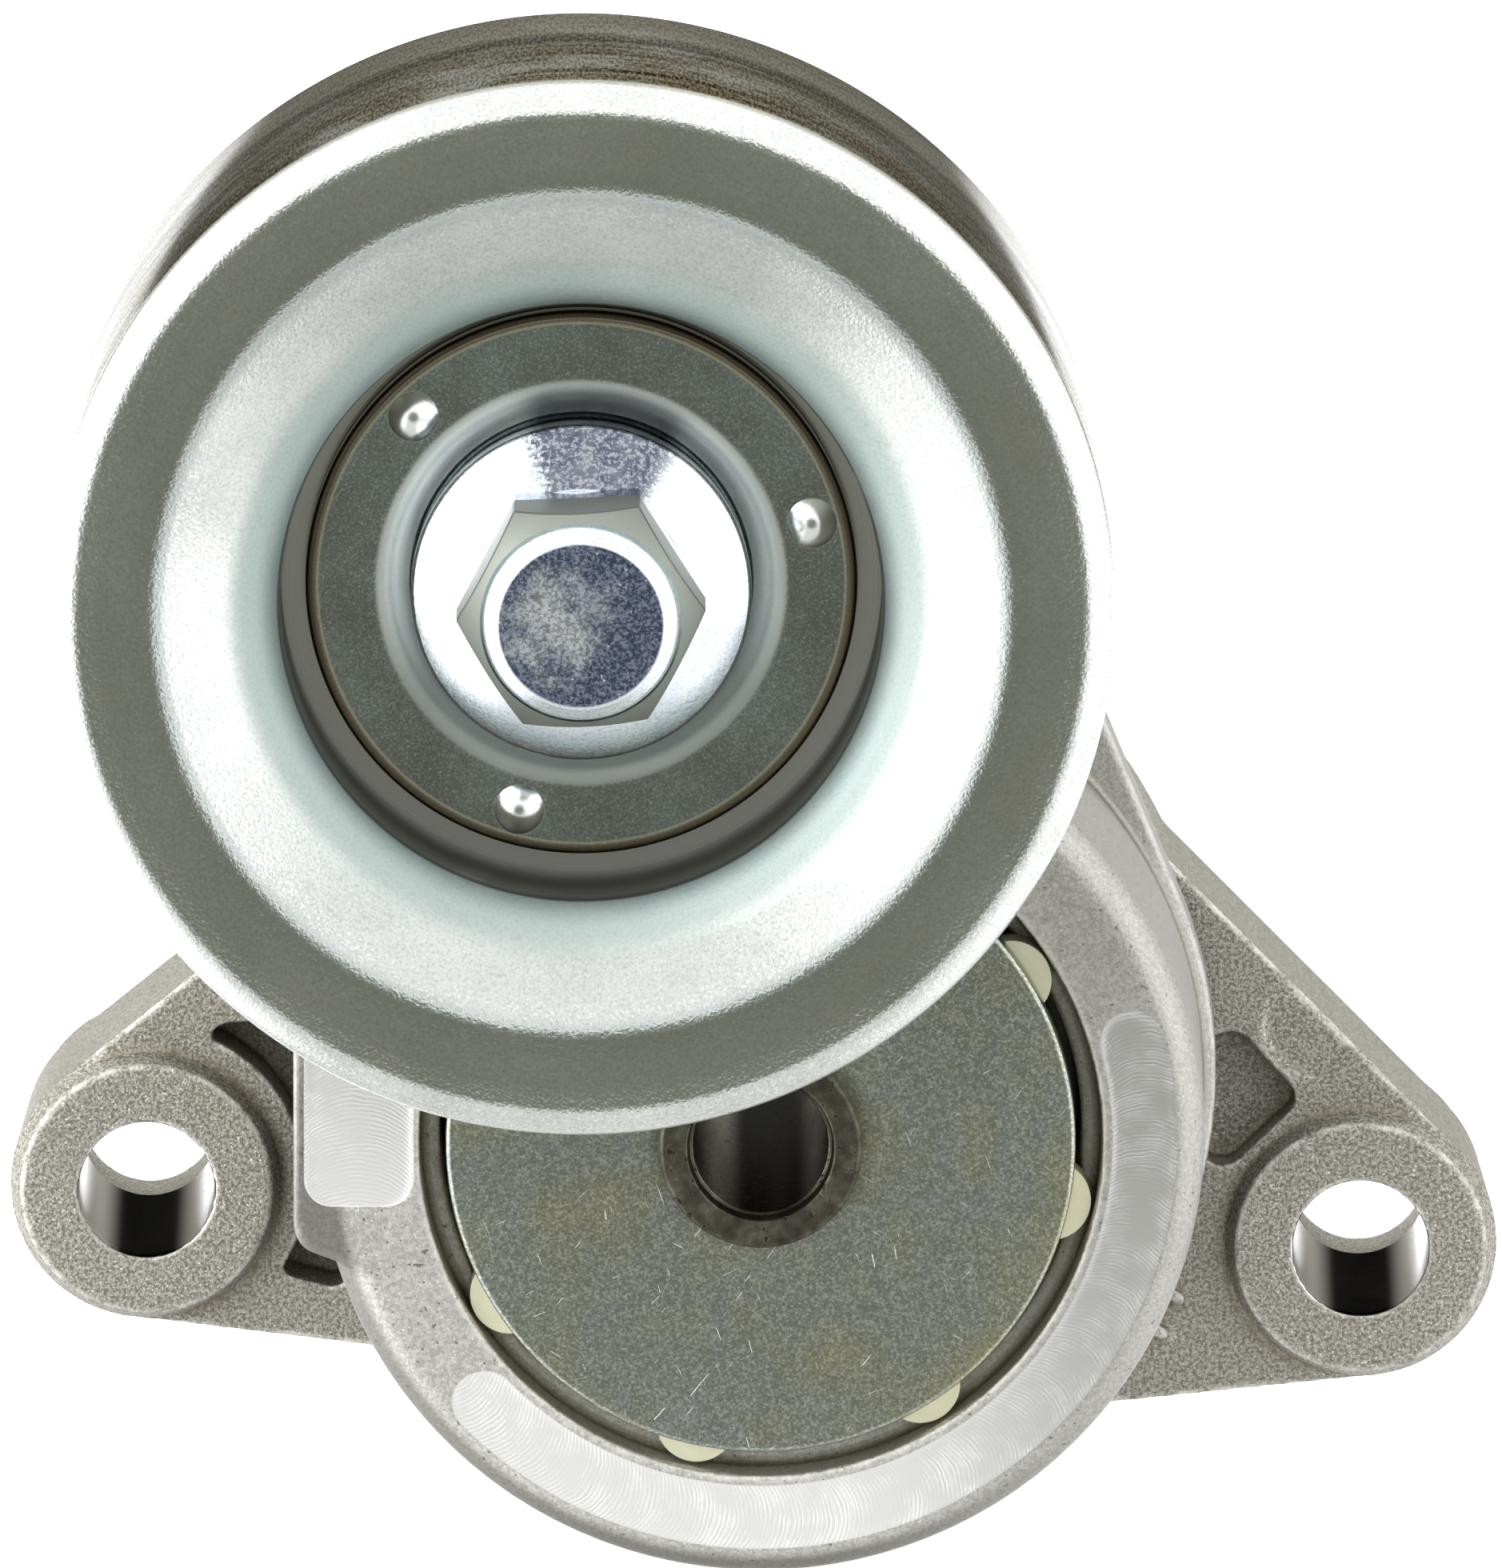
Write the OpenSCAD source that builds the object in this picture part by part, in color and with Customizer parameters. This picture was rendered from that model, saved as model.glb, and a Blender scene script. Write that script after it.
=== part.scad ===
// Belt tensioner idler: a sprung arm on a two-bolt base carries a flat pulley on a ball bearing.
// The origin lies on the arm's pivot axis, in the plane of the mounting face. The front faces -Y and
// +Z is up. Inside facing_front() the plane is X and Z, and "h" is the height in front of that face.

/* [Layout] */
// Distance from the pivot axis to the pulley's axis
arm_reach = 42.3; // [41.5:0.1:43.5]
// Angle of the arm at rest, counted from the right-hand horizontal
arm_angle = 105.9; // [101:0.1:110]
// Height of the pulley's front face above the mounting face
pulley_front_h = 87; // [86.5:0.5:88]

/* [Pulley] */
// Outer diameter of the belt track
pulley_d = 69; // [68:0.5:72]
// Width of the pulley along its axis
pulley_w = 29; // [28:0.5:29.5]
// Thickness of the pressed steel
pulley_wall = 2.3; // [1.8:0.1:2.5]
// Radius of the rounded front edge
pulley_edge_r = 2.2; // [1.2:0.1:2.3]
// Diameter where the flat front face turns in towards the bearing
funnel_d = 56.4; // [55:0.2:58]
// Slope of the funnel between its two bends
funnel_slope = 24; // [20:1:26]
// Diameter of the opening in front of the bearing
throat_d = 38.8; // [38:0.1:39.2]

/* [Bearing] */
// Outer diameter of the ball bearing
bearing_od = 40; // [40:0.1:40.4]
// Bore of the ball bearing
bearing_id = 17; // [16:0.1:17.2]
// Width of the ball bearing
bearing_w = 12; // [12:0.1:12.4]
// Number of balls
ball_count = 8; // [6:1:9]
// Ball diameter
ball_d = 6.75; // [6:0.05:6.8]

/* [Pulley bolt] */
// Nominal thread diameter
bolt_d = 10; // [8:0.5:10]
// Width of the hexagon across its flats
bolt_af = 14; // [13:0.5:15]
// Diameter of the bolt's flange and of the washer under it
bolt_flange_d = 22; // [20:0.5:22]

/* [Dust shields] */
// Diameter of the front shield
shield_d = 35.7; // [34:0.1:36.5]
// Number of round bumps on the front shield
bump_count = 3; // [1:1:6]

/* [Arm] */
// Outer diameter of the drum round the pivot
drum_d = 57.8; // [57:0.2:58]
// Diameter of the drum's open bore
drum_bore_d = 44.4; // [44:0.1:45]
// Height of the drum's front face above the mounting face
drum_front_h = 54; // [53.8:0.1:54]
// Largest radius of the arm behind the pulley
arm_head_r = 25; // [22:0.5:26]

/* [Friction ring] */
// Number of lobes round the nylon ring
lobe_count = 8; // [4:1:10]
// Radius of each lobe
lobe_r = 2.6; // [1.8:0.1:2.8]

/* [Base] */
// Diameter of the two mounting holes, a clearance hole for an 8 mm bolt
mount_hole_d = 8.9; // [8.4:0.1:9.5]
// Outer diameter of the two bosses, where they meet the side plates
boss_d = 17.9; // [17:0.1:18.4]
// Length of the two bosses
boss_len = 27; // [26:0.5:28]
// Diameter of the round collar under the arm
collar_d = 58.4; // [57:0.2:60]

/* [Spring] */
// Wire diameter
wire_d = 4.4; // [3:0.2:4.6]
// Number of turns
spring_turns = 4; // [3:0.5:4.5]

/* [Hidden] */
$fn = 96;
cut = 1;           // how far a cutting tool runs past a face
slip = 0.05;       // gap between pieces that turn or slide on each other
seat = 0.01;       // gap between pieces pressed together

// Places of the parts in the front view
pulley_axis = arm_reach * [cos(arm_angle), sin(arm_angle)];
left_boss = [-40.2, -8.4];
right_boss = [39.3, -12.3];

// Heights along the pulley's axis
pulley_rear_h = pulley_front_h - pulley_w;
bearing_front_h = pulley_front_h - 14;
bearing_rear_h = bearing_front_h - bearing_w;
bearing_mid_h = bearing_front_h - bearing_w / 2;
shield_t = 1;                                    // sheet of the two dust shields
shield_step = 1.5;                               // depth of the front shield's well
shield_floor_h = bearing_front_h + shield_t;
shield_face_h = shield_floor_h + shield_step;
bolt_collar_t = 2.9;
flange_t = 2;                                    // edge of the bolt's flange
hex_top_h = pulley_front_h + 4.1;
bolt_len = 40;
post_front_h = bearing_rear_h - shield_t;

// Bearing
ball_pitch_r = (bearing_od + bearing_id) / 4;
inner_ring_r = 12;                               // outside of the inner ring
outer_ring_r = 16.5;                             // inside of the outer ring
seal_seat_r = 17.6;                              // recess that holds each seal
seal_t = 0.9;
seal_seat_depth = 1.4;
cage_r = [12.5, 16.0];                           // inside and outside of the cage
race_gap = 0.06;

// Heights along the pivot
web_rear_h = 26;
web_front_h = 30.5;
arm_floor_h = [34, 40];                          // underside and top of the drum's floor
plate_front_h = 25;
plate_rear_h = 6;
plate_draft = 0.8;                               // how far the plates' sides slope in towards the rear
cup_rear_h = 1;
cup_floor_h = 4;
drum_step_h = 50.4;                              // height of the step inside the drum's bore
disc_t = 2;
disc_rear_h = drum_front_h - 1;
disc_front_h = disc_rear_h + disc_t;
crimp_h = 2;                                     // rolled end of the shaft in front of the disc

// Radii about the pivot
drum_r = drum_d / 2;
drum_bore_r = drum_bore_d / 2;
drum_edge_r = 2.3;                               // rounding of the drum's front edge
drum_step = 1.3;                                 // width of the step inside the drum's bore
shaft_bore_r = 4.4;
shaft_r = 7.5;
shaft_neck_r = 5.6;                              // where the shaft passes through the disc
crimp_r = 6.65;
disc_r = 20.5;
hub_r = 12;
bush_r = 9;
base_hub_r = 11;
cup_r = [24.2, 27];                              // inside and outside of the spring cup
ledge = 0.9;                                     // step where the drum stands on the arm's web
lobe_pitch_r = 19.35;
milled_r = [22.9, 27];                         // inside and outside of the milled band
milled_depth = 0.12;
milled_arc = [-136, 15];                         // start and end of the milled band
spring_r = 18.5;

// Stop lug on the arm's left side
lug_left = -30.4;
lug_bottom = -7.8;
lug_corner_r = 2.2;
lug_slope = 36;

// Points along an arc with radii r in the two directions
function arc(centre, r, from, to, n = 8) =
    [for (i = [0:n]) let (a = from + (to - from) * i / n) centre + [r[0] * cos(a), r[1] * sin(a)]];

// Ends of the line that touches two circles on one side, +1 or -1
function tangent(c1, r1, c2, r2, side) =
    let (d = c2 - c1, a = atan2(d[1], d[0]) + side * acos((r1 - r2) / norm(d)), n = [cos(a), sin(a)])
    [c1 + r1 * n, c2 + r2 * n];

module facing_front() rotate([90, 0, 0]) children();
module at_pulley() facing_front() translate(pulley_axis) children();

// A ring or tube between two heights
module ring(outer, inner, from, to)
    translate([0, 0, from]) difference() {
        cylinder(r = outer, h = to - from);
        translate([0, 0, -cut]) cylinder(r = inner, h = to - from + 2 * cut);
    }

module disc(r, from, to) translate([0, 0, from]) cylinder(r = r, h = to - from);

// Flat outline between two circles and the lines that touch both
module link(c1, r1, c2, r2) {
    plus = tangent(c1, r1, c2, r2, 1);
    minus = tangent(c1, r1, c2, r2, -1);
    translate(c1) circle(r1);
    translate(c2) circle(r2);
    polygon([plus[0], plus[1], minus[1], minus[0]]);
}

// ---- Base ----

// Outline of one side plate, from its boss to the collar
module plate_outline(boss, side, upper_r, lower_r, inset = 0) {
    r = boss_d / 2 - inset;
    upper = tangent(boss, r, [0, 0], upper_r - inset, side);
    lower = tangent(boss, r - 0.3, [0, 0], lower_r - inset, -side);
    translate(boss) circle(r);
    polygon([boss, upper[0], upper[1], [0, 0], lower[1], lower[0]]);
}

// Side plate whose edges slope in towards the rear
module side_plate(boss, side, upper_r, lower_r, sheet = 0.01) hull() {
    translate([0, 0, plate_rear_h]) linear_extrude(sheet)
        plate_outline(boss, side, upper_r, lower_r, plate_draft);
    translate([0, 0, plate_front_h - sheet]) linear_extrude(sheet)
        plate_outline(boss, side, upper_r, lower_r);
}

module at_bosses() for (boss = [left_boss, right_boss]) translate(boss) children();

// Tapered boss: a sloping edge in front of the plates and a slimmer tube behind them
module boss_body() {
    rear_r = 7.5;
    cylinder(r1 = rear_r, r2 = rear_r + 0.7, h = plate_front_h - cut);
    translate([0, 0, plate_front_h - 0.3])
        cylinder(r1 = boss_d / 2, r2 = boss_d / 2 - 0.7, h = boss_len - plate_front_h + 0.3);
}

// Recess in the front of the right side plate
module right_pocket()
    translate([0, 0, 21.8]) linear_extrude(10)
        offset(r = 1.2) polygon([[30.1, 0.3], [30.9, 0.5], [33.8, -2.7], [30.4, -5.9], [30.1, -5.9]]);

// Recess in the front of the left side plate, which runs round the boss
module left_pocket()
    translate([0, 0, 20]) linear_extrude(10) difference() {
        offset(r = 1) polygon([[-35, 1.2], [-28, 1.8], [-28, -14.2], [-30.4, -13.6]]);
        translate(left_boss) circle(boss_d / 2 + 1.6);
    }

// Weight-saving recesses behind the side plates
module rear_pockets()
    translate([0, 0, plate_rear_h - cut]) linear_extrude(8) difference() {
        offset(delta = -4) {
            plate_outline(left_boss, 1, 27.7, 22.2);
            plate_outline(right_boss, -1, 28.3, 25.3);
        }
        circle(cup_r[1] + 3);
        at_bosses() circle(boss_d / 2 + 1.6);
    }

// Two small raised dashes that mark the end of the arm's travel
module travel_marks()
    for (p = [[26.9, -15.7], [25.8, -18]]) translate([p[0], p[1], plate_front_h - cut]) rotate(-30)
        linear_extrude(cut + 0.6) {
            square([1.2, 0.9], center = true);
            for (x = [-0.6, 0.6]) translate([x, 0]) circle(0.45);
        }

module base_bracket() color("#a8a49c") facing_front() difference() {
    union() {
        side_plate(left_boss, 1, 27.7, 22.2);
        side_plate(right_boss, -1, 28.3, 25.3);
        at_bosses() boss_body();
        disc(cup_r[1], cup_rear_h, plate_rear_h + cut);
        disc(collar_d / 2, plate_rear_h, plate_front_h);
        travel_marks();
    }
    ring(cup_r[0], base_hub_r, cup_floor_h, plate_front_h + cut);
    disc(shaft_r + seat, 0, plate_front_h + cut);
    at_bosses() disc(mount_hole_d / 2, -cut, boss_len + cut);
    right_pocket();
    left_pocket();
    rear_pockets();
    translate([36.3, 2.1]) disc(3.4, plate_front_h - 0.3, plate_front_h + cut);
}

module pivot_shaft() color("#6b5a4c") facing_front() rotate_extrude() polygon(concat(
    [[shaft_bore_r, 0], [shaft_r, 0], [shaft_r, disc_rear_h - seat],
     [shaft_neck_r, disc_rear_h - seat], [shaft_neck_r, disc_front_h + seat],
     [crimp_r, disc_front_h + seat]],
    arc([crimp_r - 0.9, disc_front_h + crimp_h - 1.1], [0.9, 1.1], 0, 90, 6),
    arc([shaft_bore_r + 0.6, disc_front_h + crimp_h - 0.6], [0.6, 0.6], 90, 180, 4)));

module thrust_washer() color("#4a4a48") facing_front()
    ring(base_hub_r + 0.6, shaft_r + slip, plate_front_h, web_rear_h + 0.5);

module spring_seat() color("#3a3a3a") facing_front()
    ring(cup_r[0] - 0.6, base_hub_r + 2.4, cup_floor_h, cup_floor_h + 1.6);

// Points of one ring of the coil, at a share t of its length
function coil_ring(t, sides = 10) =
    let (turn = 360 * spring_turns * t, low = cup_floor_h + 1.6 + wire_d / 2 + 0.1,
         high = arm_floor_h[0] - wire_d / 2 - 0.2, h = low + (high - low) * t)
    [for (k = [0:sides - 1]) let (a = 360 * k / sides, r = spring_r + wire_d / 2 * cos(a))
        [r * cos(turn), r * sin(turn), h + wire_d / 2 * sin(a)]];

module torsion_spring(sides = 10, per_turn = 22) color("#55565a") facing_front() {
    rings = round(per_turn * spring_turns);
    first = [for (k = [0:sides - 1]) k];
    last = [for (k = [sides - 1:-1:0]) rings * sides + k];
    walls = [for (i = [0:rings - 1], k = [0:sides - 1]) let (j = (k + 1) % sides)
        [i * sides + k, (i + 1) * sides + k, (i + 1) * sides + j, i * sides + j]];
    polyhedron([for (i = [0:rings]) each coil_ring(i / rings, sides)], concat([first], [last], walls));
}

module friction_ring() color("#d8d6ae") facing_front() difference() {
    union() {
        disc(drum_bore_r - 2.4, arm_floor_h[1] + 0.2, disc_rear_h - seat);
        for (i = [0:lobe_count - 1]) rotate(32.5 + 360 * i / lobe_count)
            translate([lobe_pitch_r, 0]) disc(lobe_r, drum_step_h + 0.1, disc_rear_h - seat);
    }
    disc(hub_r + 0.6, 0, pulley_front_h);
}

module retainer_disc() color("#8f9180") facing_front()
    ring(disc_r, shaft_neck_r + seat, disc_rear_h, disc_front_h);

// ---- Arm ----

// Drum round the pivot with its rounded front edge
module drum() rotate_extrude() polygon(concat(
    [[0, web_rear_h], [drum_r, web_rear_h]],
    arc([drum_r - drum_edge_r, drum_front_h - drum_edge_r], [drum_edge_r, drum_edge_r], 0, 90, 8),
    [[0, drum_front_h]]));

// Lug on the left that meets the arm's stop. Its lower corner is round and its underside slopes.
module stop_lug() {
    corner = [lug_left + lug_corner_r, lug_bottom + lug_corner_r];
    translate([0, 0, web_rear_h]) linear_extrude(drum_front_h - web_rear_h) polygon(concat(
        [[pulley_axis[0], 20], [lug_left, 20]],
        arc(corner, [lug_corner_r, lug_corner_r], 180, 180 + 90 - lug_slope, 4),
        [corner + 8 * [cos(lug_slope), -sin(lug_slope)], [0, 0]]));
}

// Post that carries the pulley, and the rib between it and the drum
module pulley_post() {
    translate([pulley_axis[0], pulley_axis[1], web_rear_h])
        cylinder(r1 = 17, r2 = hub_r + 1, h = pulley_rear_h - web_rear_h);
    translate(pulley_axis) disc(hub_r - 0.5, web_rear_h, post_front_h);
    translate([0, 0, web_rear_h]) linear_extrude(20) link([0, 0], drum_r - 5, pulley_axis, 14);
}

// Shallow milled band on the drum's face, with round ends
module milled_band() {
    mid_r = (milled_r[0] + milled_r[1]) / 2;
    width = milled_r[1] - milled_r[0];
    translate([0, 0, drum_front_h - milled_depth]) {
        rotate(milled_arc[0]) rotate_extrude(angle = milled_arc[1] - milled_arc[0])
            translate([milled_r[0], 0]) square([width, cut]);
        for (a = milled_arc) rotate(a) translate([mid_r, 0]) rotate(45)
            cylinder(r = width / 2 - 0.08, h = cut);
    }
}

// Shallow milled pad on the lug's face
module milled_pad()
    translate([0, 0, drum_front_h - milled_depth]) linear_extrude(cut) {
        translate([-29.7, -2.6]) square([7.1, 13.6]);
        translate([-27.9, -4.4]) square([3.5, 3]);
        for (x = [-27.9, -24.4]) translate([x, -2.6]) circle(1.8);
    }

module tensioner_arm() color("#b9b6ad") facing_front() difference() {
    union() {
        drum();
        translate([0, 0, web_rear_h]) linear_extrude(web_front_h - web_rear_h)
            link([0, 0], drum_r + ledge, pulley_axis, arm_head_r);
        stop_lug();
        pulley_post();
    }
    ring(drum_bore_r, hub_r, drum_step_h, drum_front_h + cut);
    ring(drum_bore_r - drum_step, hub_r, arm_floor_h[1], drum_step_h + cut);
    ring(cup_r[0], hub_r, web_rear_h - cut, arm_floor_h[0]);
    disc(hub_r + cut, disc_rear_h - 1, drum_front_h + cut);
    disc(hub_r + cut, web_rear_h - cut, web_rear_h + 0.7);
    disc(bush_r + seat, 0, pulley_front_h);
    translate(pulley_axis) disc(bolt_d / 2 + seat, web_front_h + 3, pulley_front_h);
    milled_band();
    milled_pad();
}

module pivot_bush() color("#c9c4a8") facing_front()
    ring(bush_r, shaft_r + slip, web_rear_h + 0.75, disc_rear_h - 1.2);

// ---- Pulley bolt, shields and bearing, on the arm ----

// Hexagon with a 45 degree chamfer round its end and steeper corners below that
module hexagon_head(from, to) {
    face_r = 5.4;
    chamfer = 0.95;
    corner_slope = 62;
    top_r = face_r + chamfer - chamfer / tan(corner_slope);
    tall = to - from;
    intersection() {
        translate([0, 0, from]) rotate(2.4) cylinder(r = bolt_af / sqrt(3), h = tall, $fn = 6);
        translate([0, 0, from]) cylinder(r1 = face_r + tall, r2 = face_r, h = tall);
        translate([0, 0, from]) cylinder(r1 = top_r + tall / tan(corner_slope), r2 = top_r, h = tall);
    }
}

module pulley_bolt() color("#c6ccd2") at_pulley() {
    base_h = shield_floor_h + bolt_collar_t;
    disc(bolt_d / 2, base_h - bolt_len, base_h + flange_t);
    disc(bolt_flange_d / 2, base_h, base_h + flange_t);
    translate([0, 0, base_h + flange_t])
        cylinder(r1 = bolt_flange_d / 2 - 0.3, r2 = bolt_af / 2 - 0.2, h = 2.2);
    hexagon_head(base_h + flange_t, hex_top_h);
}

module bolt_collar() color("#b8bdc0") at_pulley()
    ring(bolt_flange_d / 2 - 0.2, bolt_d / 2 + slip, shield_floor_h, shield_floor_h + bolt_collar_t);

// Round bump pressed out of the shield's face
module bump(r = 1.55, rise = 0.7) {
    ball_r = (r * r + rise * rise) / (2 * rise);
    intersection() {
        translate([0, 0, shield_face_h + rise - ball_r]) sphere(ball_r);
        disc(r, shield_face_h - shield_t / 2, shield_face_h + rise + cut);
    }
}

module front_dust_shield() color("#8a9498") at_pulley() {
    r = shield_d / 2;
    well_r = [11.5, 12.9];
    rotate_extrude() polygon(concat(
        [[bolt_d / 2 + slip, bearing_front_h], [well_r[0] + 0.4, bearing_front_h],
         [well_r[1] + 0.4, shield_face_h - shield_t], [r - 1.4, shield_face_h - shield_t],
         [r - 0.9, shield_face_h - 1.7], [r, shield_face_h - 1.7]],
        arc([r - 0.8, shield_face_h - 0.8], [0.8, 0.8], 0, 90, 6),
        [[well_r[1], shield_face_h], [well_r[0], shield_floor_h], [bolt_d / 2 + slip, shield_floor_h]]));
    for (i = [0:bump_count - 1]) rotate(14.8 + 360 * i / bump_count) translate([15.3, 0]) bump();
}

module rear_dust_shield() color("#8a9498") at_pulley()
    rotate_extrude() polygon([
        [bolt_d / 2 + slip, bearing_rear_h - shield_t], [inner_ring_r + 0.3, bearing_rear_h - shield_t],
        [inner_ring_r + 1.5, bearing_rear_h - 2.1], [18.6, bearing_rear_h - 2.1],
        [18.6, bearing_rear_h - 1.1], [inner_ring_r + 1.9, bearing_rear_h - 1.1],
        [inner_ring_r, bearing_rear_h], [bolt_d / 2 + slip, bearing_rear_h]]);

// Groove that the balls run in
module race() translate([0, 0, bearing_mid_h]) rotate_extrude()
    translate([ball_pitch_r, 0]) circle(ball_d / 2 + race_gap);

module bearing_inner_ring() color("#9aa0a4") at_pulley() difference() {
    ring(inner_ring_r, bearing_id / 2, bearing_rear_h, bearing_front_h);
    race();
}

module bearing_sleeve() color("#7c8084") at_pulley()
    ring(bearing_id / 2 - seat, bolt_d / 2 + slip, bearing_rear_h, bearing_front_h);

module bearing_outer_ring() color("#9aa0a4") at_pulley() difference() {
    ring(bearing_od / 2, outer_ring_r, bearing_rear_h, bearing_front_h);
    race();
    disc(seal_seat_r, bearing_rear_h - cut, bearing_rear_h + seal_seat_depth);
    disc(seal_seat_r, bearing_front_h - seal_seat_depth, bearing_front_h + cut);
}

module seal(from) color("#2e2e2e") at_pulley()
    ring(seal_seat_r - seat, inner_ring_r + 0.3, from, from + seal_t);
module bearing_seal_front() seal(bearing_front_h - seal_seat_depth);
module bearing_seal_rear() seal(bearing_rear_h + seal_seat_depth - seal_t);

// One copy of the children at each ball
module at_balls()
    translate([0, 0, bearing_mid_h]) for (i = [0:ball_count - 1]) rotate(360 * i / ball_count)
        translate([ball_pitch_r, 0]) children();

module bearing_balls() color("#c8ccd0") at_pulley() at_balls() sphere(ball_d / 2);

// A plain ring with a round window for each ball
module bearing_cage() color("#a58a4a") at_pulley() difference() {
    ring(cage_r[1], cage_r[0], bearing_mid_h - 4.2, bearing_mid_h + 4.2);
    at_balls() rotate([0, 90, 0]) cylinder(d = ball_d + 0.25, h = 8, center = true);
}

// ---- Pulley ----

module pulley_shell() color("#b4bcc0") at_pulley() {
    r = pulley_d / 2;
    wall_r = r - pulley_wall;
    throat_r = throat_d / 2;
    tube_r = bearing_od / 2 + pulley_wall - 0.1;
    face_h = pulley_front_h - pulley_wall;
    lip_r = 3.5;                                 // bend where the face turns in
    throat_bend_r = 3.2;                         // bend where the funnel meets the throat
    lip = [funnel_d / 2, pulley_front_h - lip_r];
    from_lip = lip + lip_r * [-sin(funnel_slope), cos(funnel_slope)];
    to_throat_r = throat_r + throat_bend_r * (1 - sin(funnel_slope));
    to_throat_h = from_lip[1] - (from_lip[0] - to_throat_r) * tan(funnel_slope);
    throat = [throat_r + throat_bend_r, to_throat_h - throat_bend_r * cos(funnel_slope)];
    inner_bend_r = throat[0] - tube_r;
    rotate_extrude() polygon(concat(
        [[bearing_od / 2 + seat, pulley_rear_h + 2], [tube_r, pulley_rear_h + 2]],
        arc(throat, inner_bend_r * [1, 1], 180, 90 + funnel_slope, 4),
        arc(lip, (lip_r - pulley_wall) * [1, 1], 90 + funnel_slope, 90, 4),
        arc([wall_r - 1, face_h - 1], [1, 1], 90, 0, 4),
        [[wall_r, pulley_rear_h]],
        arc([r - 0.8, pulley_rear_h + 0.8], [0.8, 0.8], -90, 0, 4),
        arc([r - pulley_edge_r, pulley_front_h - pulley_edge_r], [pulley_edge_r, pulley_edge_r], 0, 90, 8),
        arc(lip, lip_r * [1, 1], 90, 90 + funnel_slope, 6),
        arc(throat, throat_bend_r * [1, 1], 90 + funnel_slope, 180, 10),
        [[throat_r, bearing_front_h + seat], [bearing_od / 2 + seat, bearing_front_h + seat]]));
}

base_bracket();
pivot_shaft();
thrust_washer();
spring_seat();
torsion_spring();
friction_ring();
retainer_disc();
tensioner_arm();
pivot_bush();
pulley_bolt();
bolt_collar();
front_dust_shield();
rear_dust_shield();
bearing_inner_ring();
bearing_sleeve();
pulley_shell();
bearing_outer_ring();
bearing_seal_front();
bearing_seal_rear();
bearing_balls();
bearing_cage();
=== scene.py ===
import math

import bmesh
import bpy
import numpy as np
from mathutils import Matrix, Vector


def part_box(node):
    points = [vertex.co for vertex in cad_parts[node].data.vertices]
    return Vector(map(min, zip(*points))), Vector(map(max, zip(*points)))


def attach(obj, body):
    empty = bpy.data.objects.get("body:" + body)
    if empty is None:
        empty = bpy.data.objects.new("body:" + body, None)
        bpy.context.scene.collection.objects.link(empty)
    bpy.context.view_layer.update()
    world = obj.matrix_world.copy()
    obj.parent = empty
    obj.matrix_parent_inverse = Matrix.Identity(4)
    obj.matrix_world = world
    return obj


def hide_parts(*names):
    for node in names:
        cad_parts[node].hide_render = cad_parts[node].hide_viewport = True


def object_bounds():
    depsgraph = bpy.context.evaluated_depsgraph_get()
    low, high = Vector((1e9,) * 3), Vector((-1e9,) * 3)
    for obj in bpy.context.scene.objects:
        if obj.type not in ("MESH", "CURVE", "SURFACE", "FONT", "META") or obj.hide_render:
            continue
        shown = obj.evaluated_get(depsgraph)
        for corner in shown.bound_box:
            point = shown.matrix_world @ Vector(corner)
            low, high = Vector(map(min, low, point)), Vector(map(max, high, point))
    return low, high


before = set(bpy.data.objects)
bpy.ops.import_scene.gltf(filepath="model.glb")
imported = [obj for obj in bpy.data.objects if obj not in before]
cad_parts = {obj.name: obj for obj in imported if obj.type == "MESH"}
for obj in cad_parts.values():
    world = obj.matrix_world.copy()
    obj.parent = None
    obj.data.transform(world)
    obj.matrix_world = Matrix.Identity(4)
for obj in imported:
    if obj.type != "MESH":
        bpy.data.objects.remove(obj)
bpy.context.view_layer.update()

# Lengths below are in millimetres unless they say otherwise. "h" is the height in front of the
# mounting face, so a point at height h has y = -h. The front view's plane is x and z.
MM = 0.001

BASE, ARM, PULLEY = "base", "arm", "pulley"


# ---------------------------------------------------------------- places, from the frame

def size_of(node):
    low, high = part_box(node)
    return [(b - a) / MM for a, b in zip(low, high)]


def centre_of(node):
    """Centre of a round node in the front view."""
    low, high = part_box(node)
    return ((low[0] + high[0]) / 2 / MM, (low[2] + high[2]) / 2 / MM)


def radius_of(node):
    return size_of(node)[0] / 2


def front_of(node):
    return -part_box(node)[0][1] / MM


def rear_of(node):
    return -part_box(node)[1][1] / MM


PIVOT = (0.0, 0.0)
PULLEY_AXIS = centre_of("pulley_shell")
BOSSES = [(-40.2, -8.4), (39.3, -12.3)]
BORE_R = 4.45
BOLT_HOLE_R = 5.05
BUMP_R, BUMP_PITCH_R, BUMP_TURN = 1.65, 15.4, 14.8
BUMPS = []
for bump_angle in (BUMP_TURN, BUMP_TURN + 120, BUMP_TURN + 240):
    bump_x = PULLEY_AXIS[0] + BUMP_PITCH_R * math.cos(math.radians(bump_angle))
    bump_z = PULLEY_AXIS[1] + BUMP_PITCH_R * math.sin(math.radians(bump_angle))
    BUMPS.append((bump_x, bump_z))


# ---------------------------------------------------------------- mesh building

def arc(centre, radii, start, end, steps=10):
    """Points along an ellipse's arc, with angles in degrees."""
    points = []
    for i in range(steps + 1):
        a = math.radians(start + (end - start) * i / steps)
        points.append((centre[0] + radii[0] * math.cos(a), centre[1] + radii[1] * math.sin(a)))
    return points


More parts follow.
